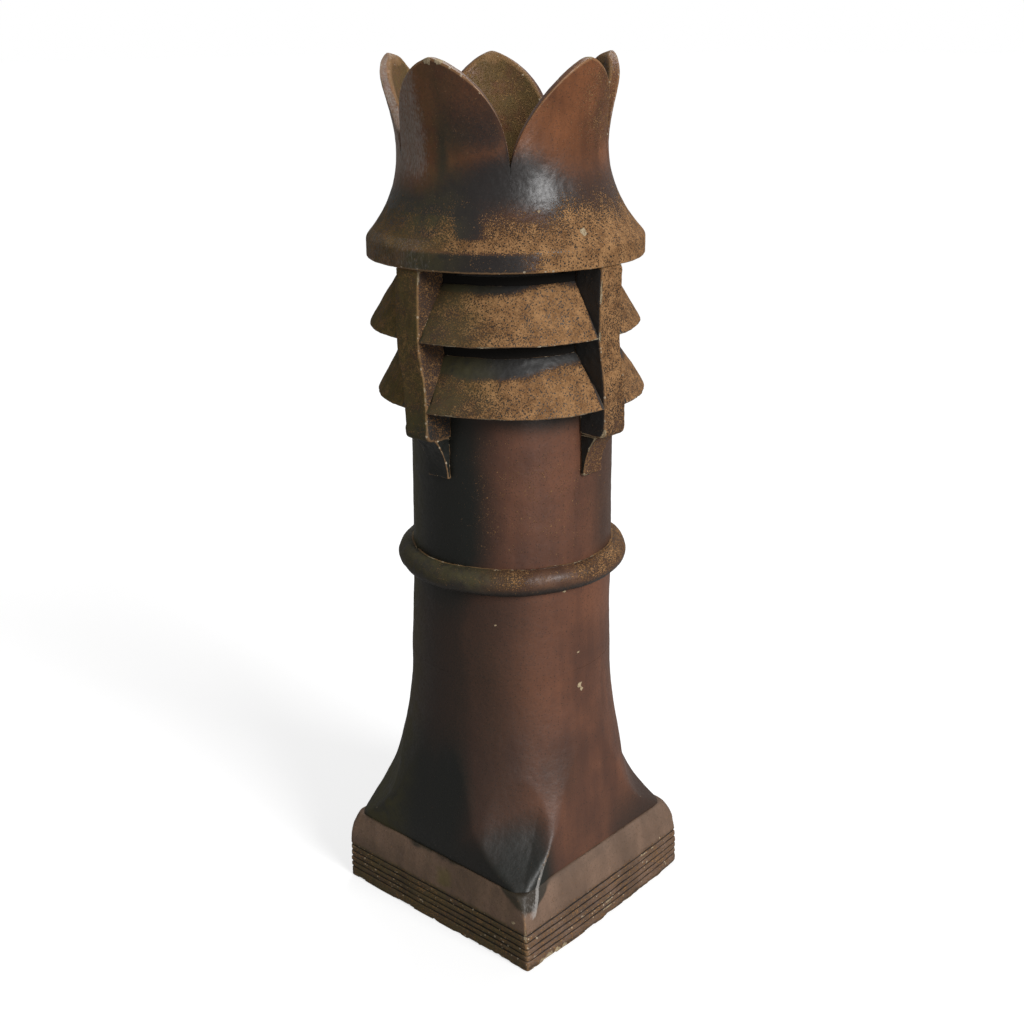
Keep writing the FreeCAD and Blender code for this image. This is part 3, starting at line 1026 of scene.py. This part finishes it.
def build_bead_ring():
    tree, low, high = solid_of("bead_ring")
    azimuths = even_columns(600)
    middle = 0.5 * (low.z + high.z)
    half = 0.5 * (high.z - low.z)
    heights = middle + half * np.sin(np.linspace(-RIGHT_ANGLE, RIGHT_ANGLE, 44))
    outer = profile(tree, within(heights, low, high, 0.2 * MM), True, azimuths[::25])
    inner_heights = np.linspace(high.z, low.z, 6)
    inner = np.full((6, len(azimuths)), profile(tree, [middle], False, azimuths[::25])[0])
    radius, height = wall_rows(all_round(outer, azimuths), inner, heights, inner_heights, 2, 2)
    round_trip = np.stack([np.cos(azimuths), np.sin(azimuths), 0 * azimuths], axis=1)
    height = height + 1.2 * MM * noise(round_trip, 0.45, 101)[None, :]
    piece = tube("bead_ring", azimuths, radius, height)
    finish_piece(piece, "bead_ring", "ochre_crust", ring_masks, relief=0.6, arris_scale=2.2)


def front_notch(tree, level):
    """The azimuth, in degrees, of the gap between petals that lies nearest the camera."""
    azimuths = even_columns(720)
    missing = np.isnan(sample(tree, azimuths, [level], True))[0]
    count = len(PETAL_SKEWS)
    phase = np.degrees(np.angle(np.sum(missing * np.exp(1j * count * azimuths)))) / count
    span = 360 / count
    return phase + span * round((VIEW_AZIMUTH - 90 - phase) / span)


def petal_tops(azimuths, notch, notch_z, top_z):
    """The height of the crown's lip at each azimuth."""
    span = 360 / len(PETAL_SKEWS)
    across = (np.degrees(azimuths) - notch) % 360 / span
    petal = np.floor(across).astype(int)
    share = across - petal
    tip = 0.5 + PETAL_SKEWS[petal] / span
    rising = share < tip
    reach = np.where(rising, share / tip, (1 - share) / (1 - tip))
    power = np.where(rising, PETAL_RISES[petal], PETAL_FALLS[petal])
    lift = (1 - (1 - reach) ** PETAL_SHOULDER) ** power
    return notch_z + (top_z + PETAL_TOPS[petal] * MM - notch_z) * lift


def build_crown():
    tree, low, high = solid_of("crown")
    azimuths = even_columns(600)
    notch_z = NOTCH_HEIGHT * MM
    neck_z = NECK_HEIGHT * MM
    seat_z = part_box("upper_barrel")[1].z
    notch = front_notch(tree, 0.5 * (notch_z + high.z))
    count = len(PETAL_SKEWS)
    solid = np.radians(notch + 360 * (np.arange(count) + 0.5) / count)
    tops = petal_tops(azimuths, notch, notch_z, high.z)

    def blurred(heights, outside):
        return soften(profile(tree, heights, outside, solid)[:, None], 2, 0)[:, 0]

    outline_z = np.linspace(low.z + 0.1 * MM, high.z - 0.1 * MM, 400)
    hollow_z = np.linspace(seat_z + 0.5 * MM, high.z - 0.1 * MM, 300)
    hollow = blurred(hollow_z, False)
    skirt_z = all_round(levels(low.z, neck_z, 1.5 * MM), azimuths)
    petal_z = neck_z + (tops - neck_z) * np.linspace(0, 1, 72)[:, None]
    outer_z = np.concatenate([skirt_z, petal_z])
    outer = np.interp(outer_z, outline_z, blurred(outline_z, True))
    inner_z = neck_z + (tops - neck_z) * np.linspace(1, 0, 34)[:, None]
    inner = np.interp(inner_z, hollow_z, hollow)

    # Under the bell: the flat seat on the barrel, then a slope down into the hollow drip rim.
    wall = profile(tree, [low.z + 5 * MM], False, solid)[0]
    under = (
        (hollow[0], seat_z),
        (hollow[0] + 9 * MM, seat_z),
        (hollow[0] + 18 * MM, seat_z),
        (wall - 11 * MM, seat_z - 12.5 * MM),
        (wall, seat_z - 25 * MM),
        (wall, seat_z - 33 * MM),
        (wall, low.z),
    )
    under_r, under_z = (all_round(part, azimuths) for part in zip(*under))

    end_rows = 4
    lip_r = between(outer[-1], inner[0], end_rows)
    lip_z = np.repeat(tops[None, :], end_rows, axis=0)
    rim_r = between(wall, outer[0], end_rows)
    rim_z = np.full(rim_r.shape, low.z)
    radius = soften(np.concatenate([outer, lip_r, inner, under_r, rim_r]), 0.8, 0, True)
    height = soften(np.concatenate([outer_z, lip_z, inner_z, under_z, rim_z]), 0.8, 0, True)
    piece = tube("crown", azimuths, radius, height)
    finish_piece(piece, "crown", "crown_glaze", crown_masks, relief=0.34, chips=-0.9)


def even_loop(outline, step):
    """A closed (distance, height) outline, stepped evenly."""
    closed = np.vstack([outline, outline[:1]])
    lengths = np.hypot(*np.diff(closed, axis=0).T)
    travelled = np.concatenate([[0], np.cumsum(lengths)])
    where = levels(0, travelled[-1], step)
    return np.stack([np.interp(where, travelled, closed[:, k]) for k in (0, 1)], axis=1)


def build_louvre(tier, bay):
    """One conical blade, from its section at the middle of the bay, ending against the piers."""
    node = "louvre_%s_%s" % (tier, bay)
    tree, low, high = solid_of(node)
    middle = math.radians(BAYS[bay])
    heights = np.linspace(low.z + 0.2 * MM, high.z - 0.2 * MM, 60)
    outer = sample(tree, [middle], heights, True)[:, 0]
    inner = sample(tree, [middle], heights, False)[:, 0]
    outline = np.stack([np.append(outer, inner[::-1]), np.append(heights, heights[::-1])], axis=1)
    reach, height = soften(even_loop(outline, 1.4 * MM), 1.1, 0, True).T[:, :, None]
    pier_low, pier_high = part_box("pier_right")
    half_turn = 0.5 * RIGHT_ANGLE - np.arcsin(0.5 * (pier_high.y - pier_low.y) / reach)
    turn = middle + half_turn * np.linspace(-1, 1, 150)[None, :]
    height = np.broadcast_to(height, turn.shape)
    points = np.stack([reach * np.cos(turn), reach * np.sin(turn), height], axis=-1)
    sag = noise(points.reshape(-1, 3), 0.07, 111 + len(node))
    points[..., 2] += 1.3 * MM * sag.reshape(turn.shape)
    index = np.arange(turn.size).reshape(turn.shape)
    below = np.roll(index, -1, axis=0)
    quads = np.stack([index[:, :-1], index[:, 1:], below[:, 1:], below[:, :-1]], axis=-1)
    caps = [index[::-1, -1].tolist(), index[:, 0].tolist()]
    piece = new_piece(node + "_ware", points, quads, caps)
    masks = louvre_masks(tier, bay, low.z, high.z)
    finish_piece(piece, node, "ochre_crust", masks, relief=0.6)


def build_piers():
    """The four uprights and the corbels that carry them."""
    for side in ("front", "right", "back", "left"):
        node = "pier_" + side
        piece = remeshed(node, 1.4 * MM, 3)
        wear = {"relief": 0.7, "chips": -0.35, "arris_scale": 0.8}
        finish_piece(piece, node, "ochre_crust", pier_masks, **wear)
        node = "corbel_" + side
        piece = remeshed(node, 1.1 * MM, 2)
        wear = {"relief": 1, "chips": -0.1, "arris_scale": 0.7}
        finish_piece(piece, node, "dark_salt_glaze", corbel_masks, **wear)


# ---- studio

# Half the floor's side in metres, and how brightly the white surround lights the pot.
FLOOR_HALF = 60
WORLD_LIGHT = 0.3


def add_light(name, kind, around, elevation, distance, strength, size):
    """A white lamp that looks at the pot. around is in degrees to the camera's right, and size is a
    sun's angle in degrees or a panel's two sides."""
    centre = 0.5 * (cad_low + cad_high)
    turn = math.radians(VIEW_AZIMUTH + around)
    rise = math.radians(elevation)
    level = math.cos(rise)
    away = Vector((math.sin(turn) * level, -math.cos(turn) * level, math.sin(rise)))
    data = bpy.data.lights.new(name, kind)
    data.energy = strength
    if kind == "SUN":
        data.angle = math.radians(size)
    else:
        data.shape = "RECTANGLE"
        data.size, data.size_y = size
    light = placed(name, data)
    light.location = centre + away * distance
    light.rotation_euler = (centre - light.location).to_track_quat("-Z", "Y").to_euler()


def build_floor():
    corners = FLOOR_HALF * np.array(((-1, -1, 0), (1, -1, 0), (1, 1, 0), (-1, 1, 0)))
    floor = new_piece("studio_floor", corners, np.arange(4))
    floor.data.materials.append(floor_material())
    floor.location.z = cad_low.z


def build_world():
    """A white surround, dimmer as a light than it looks to the camera."""
    world = bpy.data.worlds.new("studio")
    bpy.context.scene.world = world
    world.use_nodes = True
    tree = world.node_tree
    tree.nodes.clear()
    rays = tree.nodes.new("ShaderNodeLightPath")
    mixed = tree.nodes.new("ShaderNodeMixShader")
    output = tree.nodes.new("ShaderNodeOutputWorld")
    tree.links.new(rays.outputs["Is Camera Ray"], mixed.inputs[0])
    for socket, strength in ((1, WORLD_LIGHT), (2, 1)):
        background = tree.nodes.new("ShaderNodeBackground")
        background.inputs["Color"].default_value = rgb(1, 1, 1)
        background.inputs["Strength"].default_value = strength
        tree.links.new(background.outputs[0], mixed.inputs[socket])
    tree.links.new(mixed.outputs[0], output.inputs["Surface"])
    bpy.context.scene.view_settings.view_transform = "Standard"


def build_lights():
    add_light("key", "SUN", 44, 27, 4, 3.1, 26)
    add_light("window", "AREA", 24, 3, 2.4, 6, (0.16, 0.26))
    add_light("back_fill", "AREA", 165, 52, 2.6, 18, (1.2, 1.2))


def build_camera():
    """The photo's camera, a little above the pot's top and tilted down at it."""
    turns = (VIEW_AZIMUTH, VIEW_YAW, VIEW_PITCH, VIEW_ROLL)
    azimuth, yaw, pitch, roll = (math.radians(turn) for turn in turns)
    ahead = Vector((-math.sin(azimuth + yaw), math.cos(azimuth + yaw), 0))
    level_right = Vector((ahead.y, -ahead.x, 0))
    forward = ahead * math.cos(pitch) - Vector((0, 0, math.sin(pitch)))
    level_up = level_right.cross(forward)
    right = level_right * math.cos(roll) + level_up * math.sin(roll)
    up = right.cross(forward)
    data = bpy.data.cameras.new("camera")
    data.lens = FOCAL_LENGTH
    camera = placed("camera", data)
    place = Vector((math.sin(azimuth), -math.cos(azimuth), 0)) * VIEW_DISTANCE
    place.z = VIEW_HEIGHT
    turn = Matrix((right, up, -forward)).transposed().to_4x4()
    camera.matrix_world = Matrix.Translation(place) @ turn
    bpy.context.scene.camera = camera


build_plinth()
build_flared_base()
build_lower_barrel()
build_upper_barrel()
build_bead_ring()
build_crown()
for tier, bay in itertools.product(("upper", "lower"), BAYS):
    build_louvre(tier, bay)
build_piers()
build_floor()
build_lights()
build_world()
build_camera()
